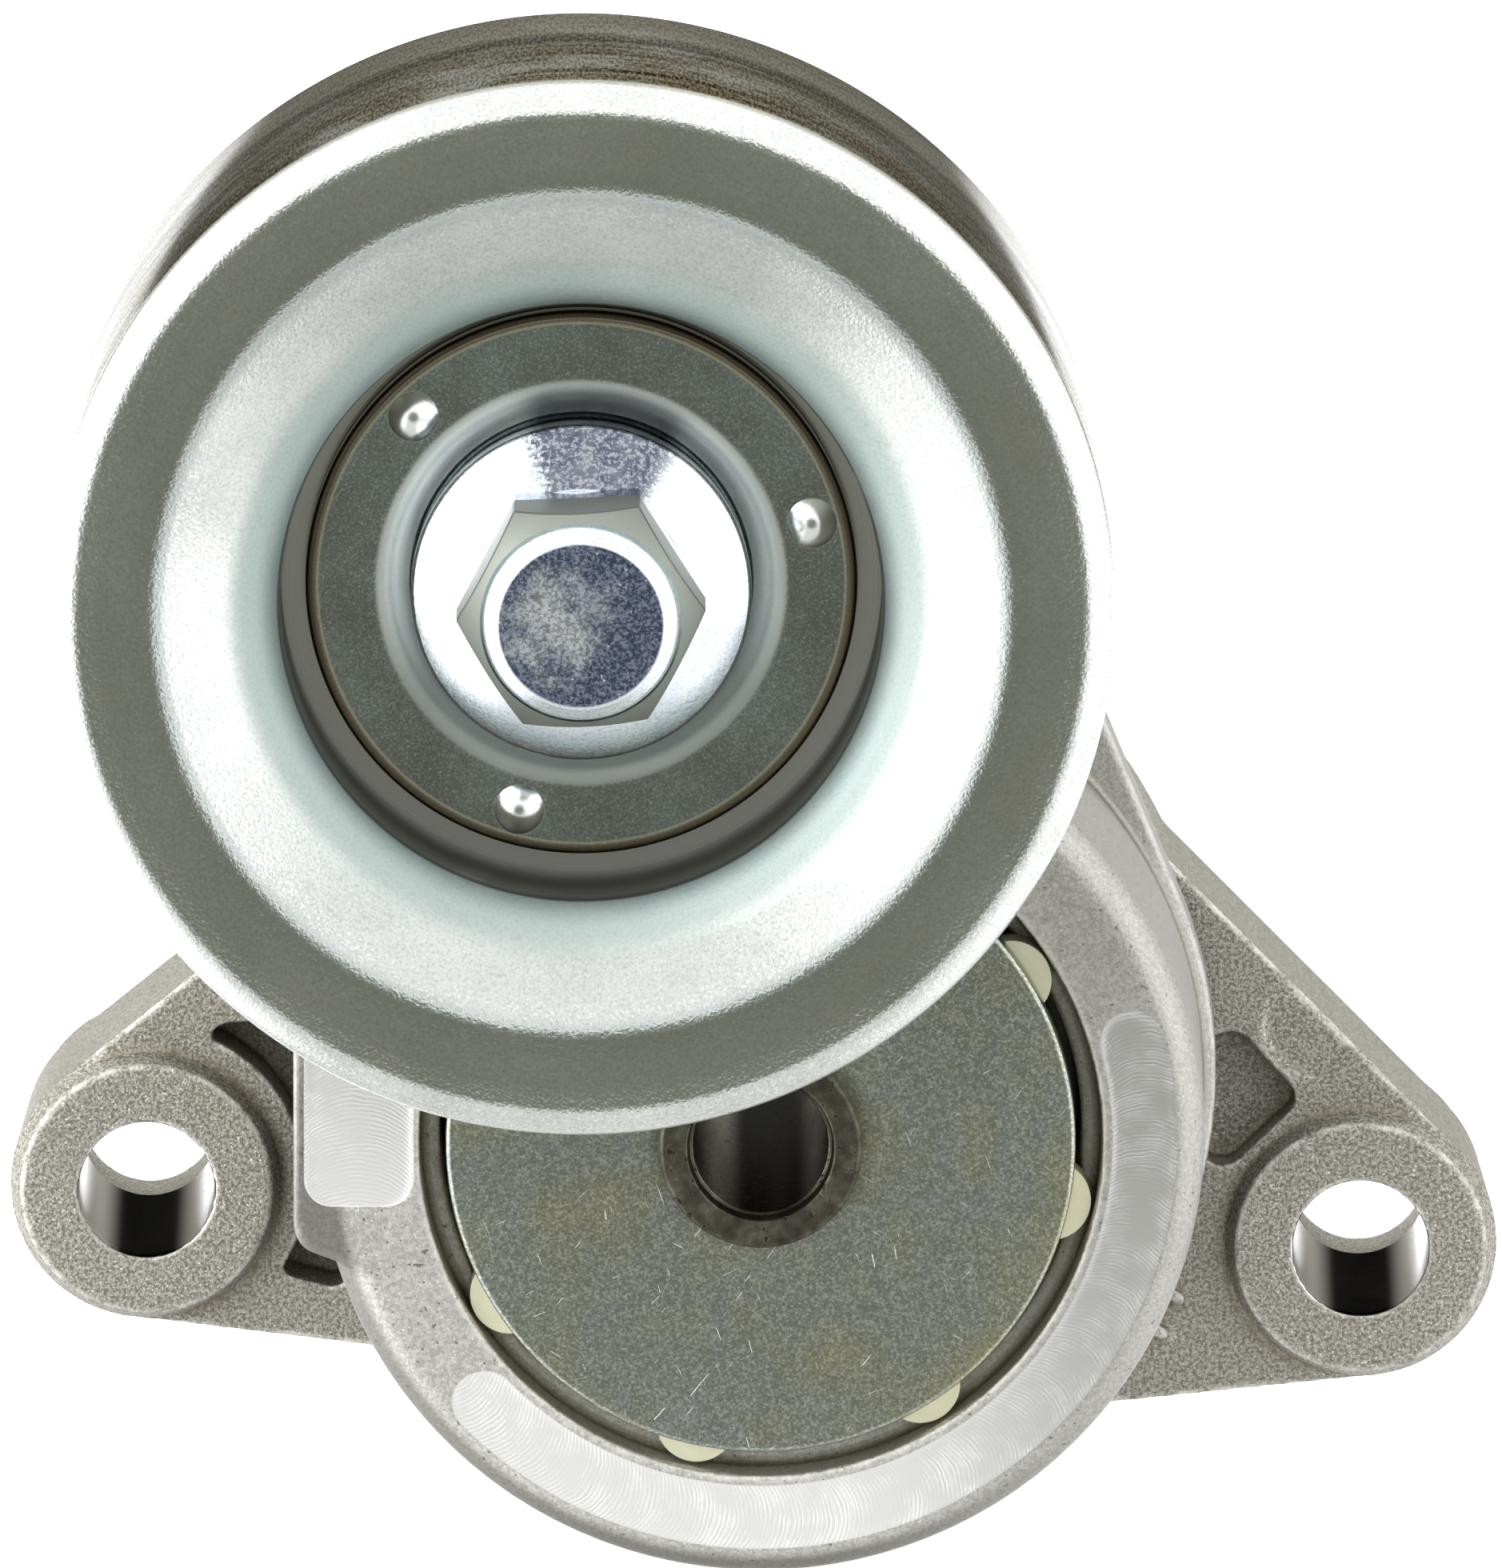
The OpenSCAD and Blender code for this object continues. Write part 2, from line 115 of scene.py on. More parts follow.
def filleted(corners, step=9.0):
    """Closed outline with each (r, h, fillet) corner rounded to its own radius."""
    out = []
    for i, corner in enumerate(corners):
        here = Vector(corner[:2])
        radius = corner[2] if len(corner) > 2 else 0
        before = Vector(corners[i - 1][:2]) - here
        after = Vector(corners[(i + 1) % len(corners)][:2]) - here
        turn = before.angle(after, math.pi) if before.length and after.length else math.pi
        if radius <= 0 or abs(math.pi - turn) < 0.02:
            out.append(tuple(here))
            continue
        cut = min(radius / math.tan(turn / 2), 0.48 * before.length, 0.48 * after.length)
        radius = cut * math.tan(turn / 2)
        halfway = (before.normalized() + after.normalized()).normalized()
        middle = here + halfway * (radius / math.sin(turn / 2))
        first = here + before.normalized() * cut - middle
        last = here + after.normalized() * cut - middle
        sweep = math.atan2(first.cross(last), first.dot(last))
        count = max(2, round(abs(math.degrees(sweep)) / step))
        for k in range(count + 1):
            a = sweep * k / count
            point = middle + Matrix.Rotation(a, 2) @ first
            out.append(tuple(point))
    return out


def new_object(name, verts, faces, sharp_deg=32):
    """Mesh object from millimetre points (x, z, h), shaded smooth with sharp edges past an angle."""
    mesh = bpy.data.meshes.new(name)
    mesh.from_pydata([(x * MM, -h * MM, z * MM) for x, z, h in verts], [], faces)
    edit = bmesh.new()
    edit.from_mesh(mesh)
    bmesh.ops.remove_doubles(edit, verts=edit.verts, dist=1e-7)
    bmesh.ops.recalc_face_normals(edit, faces=edit.faces)
    edit.to_mesh(mesh)
    edit.free()
    mesh.shade_smooth()
    mesh.set_sharp_from_angle(angle=math.radians(sharp_deg))
    obj = bpy.data.objects.new(name, mesh)
    bpy.context.scene.collection.objects.link(obj)
    return obj


def lathe(name, outline, centre, segments=240, sharp_deg=32):
    """Solid turned about an axis along Y from a closed outline of (r, h) points."""
    count = len(outline)
    verts = []
    for i in range(segments):
        a = 2 * math.pi * i / segments
        for r, h in outline:
            verts.append((centre[0] + r * math.cos(a), centre[1] + r * math.sin(a), h))
    faces = []
    for i in range(segments):
        j = (i + 1) % segments
        for k in range(count):
            m = (k + 1) % count
            if outline[k][0] < 1e-6 and outline[m][0] < 1e-6:
                continue
            faces.append([i * count + k, j * count + k, j * count + m, i * count + m])
    return new_object(name, verts, faces, sharp_deg)


def join(name, parts):
    """One object from several."""
    bpy.ops.object.select_all(action="DESELECT")
    for part in parts:
        part.select_set(True)
    bpy.context.view_layer.objects.active = parts[0]
    bpy.ops.object.join()
    parts[0].name = name
    return parts[0]


def place(obj, body, material, slot, *nodes):
    """Finishes a piece that stands for CAD nodes."""
    obj.data.materials.clear()
    obj.data.materials.append(material)
    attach(obj, body)
    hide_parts(*nodes)
    return obj


def points_of(mesh):
    """A mesh's points, and a function that gives the mean of each point's neighbours."""
    count = len(mesh.vertices)
    points = np.empty(count * 3)
    mesh.vertices.foreach_get("co", points)
    ends = np.empty(len(mesh.edges) * 2, dtype=np.int64)
    mesh.edges.foreach_get("vertices", ends)
    a, b = ends.reshape(-1, 2).T
    degree = np.bincount(a, minlength=count) + np.bincount(b, minlength=count)

    def mean(values):
        total = np.empty_like(values)
        for axis in range(3):
            column = values[:, axis]
            total[:, axis] = np.bincount(a, column[b], count) + np.bincount(b, column[a], count)
        return total / degree[:, None]
    return points.reshape(count, 3), mean


def relax(mesh, passes, weight_of):
    """Rounds a dense mesh's edges: each point moves towards its neighbours' mean."""
    points, mean = points_of(mesh)
    weight = weight_of(points / MM)[:, None]
    for _ in range(passes):
        points += weight * (mean(points) - points)
    mesh.vertices.foreach_set("co", points.ravel())
    mesh.update()


def note_edges(mesh, passes=16):
    """Stores how far each point stands proud of its surroundings, in mm, as "proud"."""
    points, mean = points_of(mesh)
    level = points.copy()
    for _ in range(passes):
        level += 0.5 * (mean(level) - level)
    normals = np.empty(len(mesh.vertices) * 3)
    mesh.vertices.foreach_get("normal", normals)
    proud = ((points - level) * normals.reshape(-1, 3)).sum(axis=1) / MM
    mesh.attributes.new("proud", "FLOAT", "POINT").data.foreach_set("value", proud.astype(np.float32))


def casting(name, node, voxel, passes, weight_of):
    """Copy of a CAD node with the soft edges of a die casting."""
    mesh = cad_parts[node].data.copy()
    rough = bpy.data.objects.new(name + "_rough", mesh)
    bpy.context.scene.collection.objects.link(rough)
    remesh = rough.modifiers.new("remesh", "REMESH")
    remesh.mode = "VOXEL"
    remesh.voxel_size = voxel * MM
    remesh.use_smooth_shade = True
    graph = bpy.context.evaluated_depsgraph_get()
    dense = bpy.data.meshes.new_from_object(rough.evaluated_get(graph))
    bpy.data.objects.remove(rough)
    relax(dense, passes, weight_of)
    note_edges(dense)
    dense.shade_smooth()
    obj = bpy.data.objects.new(name, dense)
    bpy.context.scene.collection.objects.link(obj)
    return obj


# ---------------------------------------------------------------- node materials

class Nodes:
    """A node tree built by short calls."""

    def __init__(self, tree):
        self.tree = tree
        tree.nodes.clear()

    def put(self, socket, value):
        """Links a socket to another node's output, or sets its value."""
        if isinstance(value, bpy.types.NodeSocket):
            self.tree.links.new(value, socket)
        elif value is not None:
            socket.default_value = value

    def math(self, operation, a, b=None, clamp=False):
        node = self.tree.nodes.new("ShaderNodeMath")
        node.operation = operation
        node.use_clamp = clamp
        for socket, value in zip(node.inputs, (a, b)):
            self.put(socket, value)
        return node.outputs[0]

    def plus(self, a, b):
        return self.math("ADD", a, b)

    def minus(self, a, b):
        return self.math("SUBTRACT", a, b)

    def times(self, a, b):
        return self.math("MULTIPLY", a, b)

    def larger(self, a, b):
        return self.math("MAXIMUM", a, b)

    def length(self, a, b):
        """Length of the vector (a, b)."""
        return self.math("SQRT", self.plus(self.times(a, a), self.times(b, b)))

    def vector(self, operation, a, b=None, scale=None):
        node = self.tree.nodes.new("ShaderNodeVectorMath")
        node.operation = operation
        self.put(node.inputs[0], a)
        self.put(node.inputs[1], b)
        if scale is not None:
            self.put(node.inputs["Scale"], scale)
        return node.outputs["Value" if operation == "DOT_PRODUCT" else "Vector"]

    def split(self, vector):
        node = self.tree.nodes.new("ShaderNodeSeparateXYZ")
        self.put(node.inputs[0], vector)
        return node.outputs

    def combine(self, x, y, z):
        node = self.tree.nodes.new("ShaderNodeCombineXYZ")
        for socket, value in zip(node.inputs, (x, y, z)):
            self.put(socket, value)
        return node.outputs[0]

    def ramp(self, value, *stops):
        """Colour ramp: stops are (position, colour)."""
        node = self.tree.nodes.new("ShaderNodeValToRGB")
        self.put(node.inputs[0], value)
        elements = node.color_ramp.elements
        while len(elements) < len(stops):
            elements.new(1.0)
        for element, (position, colour) in zip(elements, stops):
            element.position = position
            element.color = (*colour, 1)
        return node.outputs["Color"]

    def between(self, value, low, high, soft=0.1):
        """1 where value lies from low to high, fading over soft."""
        rise = self.step(value, low, soft)
        fall = self.step(value, high, soft)
        return self.math("SUBTRACT", rise, fall, clamp=True)

    def step(self, value, edge, soft=0.1):
        """0 below edge and 1 above it, fading over soft. A negative soft swaps the 0 and the 1."""
        node = self.tree.nodes.new("ShaderNodeMapRange")
        node.interpolation_type = "SMOOTHSTEP"
        self.put(node.inputs["Value"], value)
        node.inputs["From Min"].default_value = edge - soft / 2
        node.inputs["From Max"].default_value = edge + soft / 2
        return node.outputs[0]

    def scale_to(self, value, low, high, start=0.0, end=1.0):
        """Runs evenly from low to high while value runs from start to end."""
        node = self.tree.nodes.new("ShaderNodeMapRange")
        self.put(node.inputs["Value"], value)
        for name, number in (("From Min", start), ("From Max", end), ("To Min", low), ("To Max", high)):
            node.inputs[name].default_value = number
        return node.outputs[0]

    def mix(self, share, a, b):
        """Colour a where share is 0 and b where it is 1."""
        node = self.tree.nodes.new("ShaderNodeMix")
        node.data_type = "RGBA"
        self.put(node.inputs[0], share)
        self.put(node.inputs[6], a if isinstance(a, bpy.types.NodeSocket) else (*a, 1))
        self.put(node.inputs[7], b if isinstance(b, bpy.types.NodeSocket) else (*b, 1))
        return node.outputs[2]

    def tint(self, colour, towards, where, share):
        """Moves colour part of the way towards another, where the mask is 1."""
        return self.mix(self.times(where, share), colour, towards)

    def blend(self, share, a, b):
        """Number a where share is 0 and b where it is 1."""
        node = self.tree.nodes.new("ShaderNodeMix")
        for socket, value in zip(node.inputs[:1] + node.inputs[2:4], (share, a, b)):
            self.put(socket, value)
        return node.outputs[0]

    def bump(self, height, depth, under=None):
        """Surface relief: height 0 to 1 stands for depth millimetres."""
        node = self.tree.nodes.new("ShaderNodeBump")
        node.inputs["Strength"].default_value = 1.0
        node.inputs["Distance"].default_value = depth * MM
        self.put(node.inputs["Height"], height)
        self.put(node.inputs["Normal"], under)
        return node.outputs[0]


class Graph(Nodes):
    """A surface's node tree. Its coordinates are millimetres in the frame."""

    def __init__(self, name):
        self.material = bpy.data.materials.new(name)
        self.material.use_nodes = True
        super().__init__(self.material.node_tree)
        self.shader = self.tree.nodes.new("ShaderNodeBsdfPrincipled")
        output = self.tree.nodes.new("ShaderNodeOutputMaterial")
        self.tree.links.new(self.shader.outputs[0], output.inputs[0])
        coordinates = self.tree.nodes.new("ShaderNodeTexCoord")
        self.mm = self.vector("SCALE", coordinates.outputs["Object"], scale=1 / MM)

    def polar(self, centre):
        """Radius, angle in radians and height h about an axis along Y."""
        x, y, z = self.split(self.vector("SUBTRACT", self.mm, (centre[0], 0, centre[1])))
        return self.length(x, z), self.math("ARCTAN2", z, x), self.times(y, -1)

    def noise(self, scale, detail=3.0, vector=None, roughness=0.55):
        """Noise from 0 to 1. Scale is in features a millimetre, or a unit of the vector given."""
        node = self.tree.nodes.new("ShaderNodeTexNoise")
        self.put(node.inputs["Vector"], vector or self.mm)
        node.inputs["Scale"].default_value = scale
        node.inputs["Detail"].default_value = detail
        node.inputs["Roughness"].default_value = roughness
        return node.outputs["Fac"]

    def scratches(self, turn, length, width, rarity):
        """Thin straight scratches that all run about the same way in the front view."""
        x, _, z = self.split(self.mm)
        along = self.plus(self.times(x, math.cos(turn)), self.times(z, math.sin(turn)))
        across = self.minus(self.times(z, math.cos(turn)), self.times(x, math.sin(turn)))
        bend = self.times(self.noise(0.15, 1.0), 1.5)
        stretched = self.combine(self.math("DIVIDE", along, length), turn * 7,
                                 self.math("DIVIDE", self.plus(across, bend), width * 4))
        value = self.noise(1.0, 1.0, stretched)
        return self.step(value, rarity, 0.03)

    def finish(self, colour, roughness, normal=None, metallic=1.0, **constants):
        """Wires up the shader and gives back the material."""
        self.put(self.shader.inputs["Base Color"], colour)
        self.put(self.shader.inputs["Roughness"], roughness)
        self.put(self.shader.inputs["Normal"], normal)
        self.put(self.shader.inputs["Metallic"], metallic)
        for name, value in constants.items():
            self.shader.inputs[name.replace("_", " ")].default_value = value
        return self.material


def swap_normal(g, share, first, second):
    """The first normal where share is 0 and the second where it is 1."""
    node = g.tree.nodes.new("ShaderNodeMix")
    node.data_type = "VECTOR"
    g.put(node.inputs[0], share)
    g.put(node.inputs[4], first)
    g.put(node.inputs[5], second)
    return node.outputs[1]


def plated_steel(name, pale, dark, roughness, grain=0.02, grain_scale=4.5):
    """Zinc-plated pressed steel: a fine crystalline grain and cloudy tint."""
    g = Graph(name)
    cloud = g.noise(0.22, 4.0)
    speck = g.noise(grain_scale, 4.0, roughness=0.7)
    colour = g.mix(g.step(cloud, 0.5, 0.5), dark, pale)
    colour = g.mix(g.scale_to(g.step(speck, 0.60, 0.2), 0, 0.5), colour, (0.95, 0.96, 0.95))
    colour = g.mix(g.scale_to(g.step(speck, 0.42, -0.2), 0, 0.45), colour, tuple(0.55 * c for c in dark))
    rough = g.plus(g.scale_to(cloud, roughness - 0.04, roughness + 0.05), g.scale_to(speck, -0.05, 0.06))
    return g, colour, rough, g.bump(speck, grain)


def belt_wear(g, angle, height, rear):
    """Dull brown wear of the belt track, and the noise of the fine lines across it."""
    fibres = g.noise(1.0, 4.0, g.combine(g.times(angle, 190), g.times(height, 0.9), 0))
    hoops = g.noise(1.0, 4.0, g.combine(g.times(height, 1.6), g.times(angle, 1.1), 0))
    patches = g.noise(0.13, 3.0)
    worn = g.mix(g.step(hoops, 0.5, 0.35), (0.085, 0.08, 0.062), (0.27, 0.265, 0.235))
    worn = g.tint(worn, (0.34, 0.35, 0.36), g.step(patches, 0.56, 0.2), 0.6)
    worn = g.tint(worn, (0.13, 0.095, 0.065), g.step(patches, 0.42, -0.2), 0.5)
    worn = g.tint(worn, (0.34, 0.335, 0.30), g.between(height, rear + 0.8, rear + 8.5, 1.2), 0.55)
    worn = g.tint(worn, (0.05, 0.048, 0.04), g.between(height, rear + 9.5, rear + 11.5, 1.4), 0.65)
    worn = g.mix(g.scale_to(g.step(fibres, 0.54, 0.16), 0, 0.32), worn, (0.42, 0.42, 0.39))
    worn = g.mix(g.scale_to(g.step(fibres, 0.44, -0.16), 0, 0.40), worn, (0.03, 0.028, 0.022))
    return worn, fibres


def pulley_material():
    """Plating that is bright in front, with a worn belt track and a teal bloom round the throat."""
    g, colour, rough, _ = plated_steel("pulley_plating", (0.80, 0.82, 0.79), (0.68, 0.71, 0.68), 0.17)
    radius, angle, height = g.polar(PULLEY_AXIS)
    edge = radius_of("pulley_shell")
    front, rear = front_of("pulley_shell"), rear_of("pulley_shell")
    coarse = g.larger(g.between(radius, 25.6, 29.0, 1.6), g.step(radius, 31.2, 1.0))
    grain = g.noise(4.4, 1.0)
    normal = g.bump(g.times(grain, g.scale_to(coarse, 0.45, 1.0)), 0.026)
    colour = g.tint(colour, (0.97, 0.98, 0.97), g.times(coarse, g.step(grain, 0.62, 0.1)), 0.7)
    colour = g.tint(colour, (0.42, 0.56, 0.54), g.step(radius, 22.4, -3.2), 0.6)
    lip = g.between(radius, 26.9, 29.0, 1.2)
    colour = g.tint(colour, (0.44, 0.50, 0.50), lip, 0.45)
    funnel = g.between(radius, 19.6, 27.4, 0.8)
    colour = g.tint(colour, (0.10, 0.11, 0.10), funnel, 0.26)
    rough = g.plus(rough, g.times(g.between(radius, 19.4, 22.6, 1.6), 0.42))
    face = g.between(radius, 27.8, 32.4, 0.3)
    colour = g.tint(colour, (0.50, 0.52, 0.47), face, 0.5)
    blotch = g.step(g.noise(0.11, 3.0), 0.52, 0.3)
    colour = g.tint(colour, (0.52, 0.53, 0.47), g.times(face, blotch), 0.45)
    worn, fibres = belt_wear(g, angle, height, rear)
    track = g.times(g.step(radius, edge - 0.1, 0.1), g.step(height, front - 2.8, -0.8))
    colour = g.mix(track, colour, worn)
    g.put(g.shader.inputs["Specular Tint"], g.mix(track, (1, 1, 1), g.vector("SCALE", worn, scale=2.4)))
    rough = g.blend(track, rough, g.scale_to(fibres, 0.07, 0.13))
    # Painted shade: the throat's inner wall, in the gap between shield and throat, is coloured near black.
    tube = g.times(g.step(radius, 19.62, -0.1), 0.9)
    colour = g.mix(tube, colour, (0.08, 0.068, 0.05))
    return g.finish(colour, rough, swap_normal(g, track, normal, g.bump(fibres, 0.0006)))


def shield_material():
    """Darker plating with scratches, a paler sloping well with painted shade on its lower part, painted
    highlights on the bumps and outer edge, and a brushed rim.
    """
    g, colour, rough, normal = plated_steel(
        "shield_plating", (0.42, 0.50, 0.49), (0.33, 0.36, 0.34), 0.16, 0.006, 5.5)
    radius, angle, _ = g.polar(PULLEY_AXIS)
    marks = g.larger(g.scratches(0.9, 3.0, 0.04, 0.78), g.scratches(2.3, 3.0, 0.04, 0.79))
    colour = g.tint(colour, (0.80, 0.82, 0.78), marks, 0.5)
    slope = g.between(radius, 11.0, 13.3, 0.5)
    colour = g.tint(colour, (0.66, 0.70, 0.66), slope, 0.8)
    # Painted shade on the lower part of the sloping well.
    below = g.times(slope, g.step(g.math("SINE", angle), -0.35, -0.6))
    colour = g.tint(colour, (0.20, 0.23, 0.20), below, 0.6)
    rough = g.plus(rough, g.times(slope, 0.25))
    brushed = g.noise(1.0, 3.0, g.combine(g.times(angle, 120), 0, 0))
    # Painted highlight: the three bumps are coloured near white.
    for centre in BUMPS:
        near, _, _ = g.polar(centre)
        colour = g.tint(colour, (0.88, 0.90, 0.87), g.step(near, BUMP_R, -0.15), 0.8)
    # Painted highlight: a thin pale gold ring along the shield's rounded outer edge.
    colour = g.tint(colour, (0.86, 0.82, 0.64), g.between(radius, 16.98, 17.15, 0.1), 0.7)
    side = g.step(radius, 17.2, 0.1)
    colour = g.mix(side, colour, g.mix(brushed, (0.22, 0.17, 0.11), (0.52, 0.46, 0.36)))
    return g.finish(colour, rough, normal)


def bolt_material():
    """Bright blue-passivated zinc: the chamfer and cone are smooth, and the end face is pitted. The end face
    has a painted highlight left of centre, and the top of the cone has painted shade.
    """
    g, colour, rough, normal = plated_steel(
        "bolt_plating", (0.86, 0.90, 0.93), (0.72, 0.78, 0.86), 0.13, 0.006, 4.0)
    radius, angle, height = g.polar(PULLEY_AXIS)
    top = front_of("pulley_bolt")
    face = g.times(g.step(height, top - 0.05, 0.06), g.step(radius, 5.3, -0.2))
    # Painted highlight: the end face turns silver towards a point left of the axis, over random silver
    # patches of the plating.
    highlight_r, _, _ = g.polar((PULLEY_AXIS[0] - 1.6, PULLEY_AXIS[1] + 0.3))
    silver_and_highlight = g.plus(g.times(g.noise(0.45, 4.0), 3.0), g.times(highlight_r, -0.30))
    navy = g.mix(g.step(silver_and_highlight, 0.75, 1.1), (0.12, 0.155, 0.27), (0.66, 0.70, 0.76))
    pits = g.step(g.noise(5.0, 5.0, roughness=0.75), 0.55, 0.22)
    navy = g.mix(g.scale_to(pits, 0.0, 0.28), navy, (0.90, 0.91, 0.90))
    flakes = g.step(g.noise(2.6, 2.0), 0.70, 0.04)
    navy = g.mix(flakes, navy, (0.97, 0.98, 0.97))
    colour = g.mix(face, colour, navy)
    rough = g.blend(face, rough, g.scale_to(pits, 0.24, 0.36))
    fleck = g.noise(3.2, 5.0, roughness=0.75)
    # Painted shade: a dark navy sector over the top of the cone, with pale flecks.
    cone_top_shade = g.mix(g.step(g.noise(0.6, 2.0), 0.5, 0.3), (0.085, 0.10, 0.15), (0.17, 0.185, 0.22))
    cone_top_shade = g.mix(g.scale_to(g.step(fleck, 0.53, 0.10), 0, 0.6), cone_top_shade, (0.55, 0.57, 0.60))
    frayed = g.plus(angle, g.scale_to(fleck, -0.25, 0.25))
    sector = g.times(g.between(frayed, 0.98, 1.88, 0.12), g.step(height, top - 7, -0.5))
    sector = g.times(sector, g.step(radius, 7.15, 0.1))
    colour = g.mix(sector, colour, cone_top_shade)
    sides = g.times(g.between(radius, 6.5, 8.3, 0.06), g.step(height, top - 1.05, -0.1))
    sides = g.times(sides, g.step(height, top - 7.9, 0.1))
    colour = g.mix(sides, colour, (0.60, 0.62, 0.56))
    rough = g.blend(sides, rough, 0.42)
    normal = g.bump(g.times(pits, face), 0.004, under=normal)
    return g.finish(colour, rough, normal)


def disc_material():
    """Olive plating with faint coloured bloom, bright specks and a few short scratches."""
    g = Graph("disc_plating")
    cloud = g.noise(0.35, 5.0, roughness=0.6)
    bloom = g.noise(0.09, 3.0)
    speck = g.noise(5.5, 4.0, roughness=0.75)
    colour = g.ramp(bloom, (0.30, (0.50, 0.47, 0.29)), (0.42, (0.41, 0.43, 0.32)), (0.53, (0.36, 0.42, 0.42)),
                    (0.66, (0.46, 0.47, 0.33)))
    colour = g.mix(g.scale_to(cloud, 0.0, 0.7, 0.3, 0.7), colour, (0.31, 0.32, 0.26))
    colour = g.mix(g.scale_to(g.step(speck, 0.57, 0.16), 0, 0.6), colour, (0.80, 0.81, 0.75))
    colour = g.mix(g.scale_to(g.step(speck, 0.45, -0.2), 0, 0.55), colour, (0.16, 0.16, 0.125))
    marks = g.scratches(0.35, 2.8, 0.03, 0.80)
    for turn in (0.9, 1.9, 2.6):
        marks = g.larger(marks, g.scratches(turn, 2.8, 0.03, 0.80))
    colour = g.tint(colour, (0.97, 0.97, 0.94), marks, 0.9)
    rough = g.plus(g.scale_to(cloud, 0.27, 0.36), g.times(marks, 0.2))
    normal = g.bump(marks, -0.02, under=g.bump(speck, 0.014))
    return g.finish(colour, rough, normal)


def cast_colour(g, pale, dark, grain, sand_scale, pit_share):
    """Colour, roughness and relief of a blasted aluminium casting."""
    sand = g.noise(sand_scale, 5.0, roughness=0.65)
    cloud = g.noise(0.16, 3.0)
    colour = g.mix(g.step(sand, 0.5, 0.22), dark, pale)
    colour = g.mix(g.scale_to(cloud, 0.0, 0.3), colour, tuple(0.82 * c for c in dark))
    glint = g.step(g.noise(sand_scale * 1.7, 3.0), 0.64, 0.08)
    colour = g.tint(colour, (0.97, 0.96, 0.93), glint, 0.7)
    pits = g.step(g.noise(2.1, 2.0), 0.31, -0.05)
    colour = g.mix(g.times(pits, pit_share), colour, (0.12, 0.10, 0.08))
    attribute = g.tree.nodes.new("ShaderNodeAttribute")
    attribute.attribute_name = "proud"
    proud = attribute.outputs["Fac"]
    # Proud edges turn pale: partly wear, partly a painted edge highlight.
    edge_wear_and_highlight = g.scale_to(g.noise(0.9, 4.0), 0.05, 0.7, 0.35, 0.65)
    colour = g.mix(g.times(g.step(proud, 0.06, 0.06), edge_wear_and_highlight), colour, (0.84, 0.82, 0.77))
    # Painted shade: hollows are darkened brown.
    colour = g.tint(colour, (0.22, 0.185, 0.13), g.step(proud, -0.045, -0.05), 0.5)
    rough = g.scale_to(sand, 0.40, 0.58)
    normal = g.bump(sand, grain, under=g.bump(cloud, 0.10))
    return colour, rough, normal


def base_material():
    """Rough casting with reamed mounting holes, each with painted shade on its low side."""
    g = Graph("base_casting")
    colour, rough, normal = cast_colour(g, (0.53, 0.508, 0.45), (0.20, 0.188, 0.155), 0.11, 4.0, 0.35)
    bored, low_side_shade = 0.0, 0.0
    for centre in BOSSES:
        radius, angle, height = g.polar(centre)
        inside = g.step(radius, BORE_R + 0.12, -0.1)
        bored = g.larger(bored, inside)
        # Painted shade: each bore's low side is coloured near black, in colour and in specular tint.
        low_side_shade = g.larger(low_side_shade, g.times(inside, g.between(angle, -2.15, -0.95, 0.55)))
    reamed = g.times(bored, g.step(height, 5.5, 0.3))
    colour = g.mix(reamed, colour, g.mix(low_side_shade, (0.72, 0.71, 0.69), (0.07, 0.066, 0.06)))
    g.put(g.shader.inputs["Specular Tint"], g.mix(g.times(reamed, low_side_shade), (1, 1, 1), (0.1, 0.1, 0.1)))
    rough = g.blend(reamed, rough, 0.20)
    smooth = g.bump(g.noise(1.0, 2.0, g.vector("MULTIPLY", g.mm, (0.4, 6.0, 0.4))), 0.01)
    return g.finish(colour, rough, swap_normal(g, reamed, normal, smooth))


def milled_areas(g, x, z, radius, angle):
    """Mask of the drum's milled band and the lug's milled pad, and the way along the cutter's path."""
    band_r, band_half, band_cutter_r = 25.0, 2.1, 3.6
    band_start, band_end, end_inset = math.radians(-140), math.radians(19), 0.07
    pad_x, pad_z, pad_half_x, pad_half_z, pad_corner_r = -26.15, 3.55, 1.75, 6.15, 1.8
    pad_cutter_x, pad_cutter_r = -26.2, 5.0
    fade, least = -0.12, 0.01

    offset = g.minus(radius, band_r)
    sweep = g.math("SQRT", g.larger(g.minus(band_cutter_r**2, g.times(offset, offset)), least))
    band_travel = g.minus(g.times(angle, band_r), sweep)
    past_end = g.larger(g.minus(angle, band_end - end_inset), 0.0)
    past_start = g.larger(g.minus(band_start + end_inset, angle), 0.0)
    beyond = g.times(g.plus(past_end, past_start), band_r)
    band = g.step(g.length(offset, beyond), band_half, fade)

    across = g.minus(x, pad_cutter_x)
    pad_sweep = g.math("SQRT", g.larger(g.minus(pad_cutter_r**2, g.times(across, across)), least))
    past_x = g.larger(g.minus(g.math("ABSOLUTE", g.minus(x, pad_x)), pad_half_x), 0.0)
    past_z = g.larger(g.minus(g.math("ABSOLUTE", g.minus(z, pad_z)), pad_half_z), 0.0)
    pad = g.step(g.length(past_x, past_z), pad_corner_r, fade)
    return g.larger(band, pad), g.blend(pad, band_travel, g.minus(z, pad_sweep))


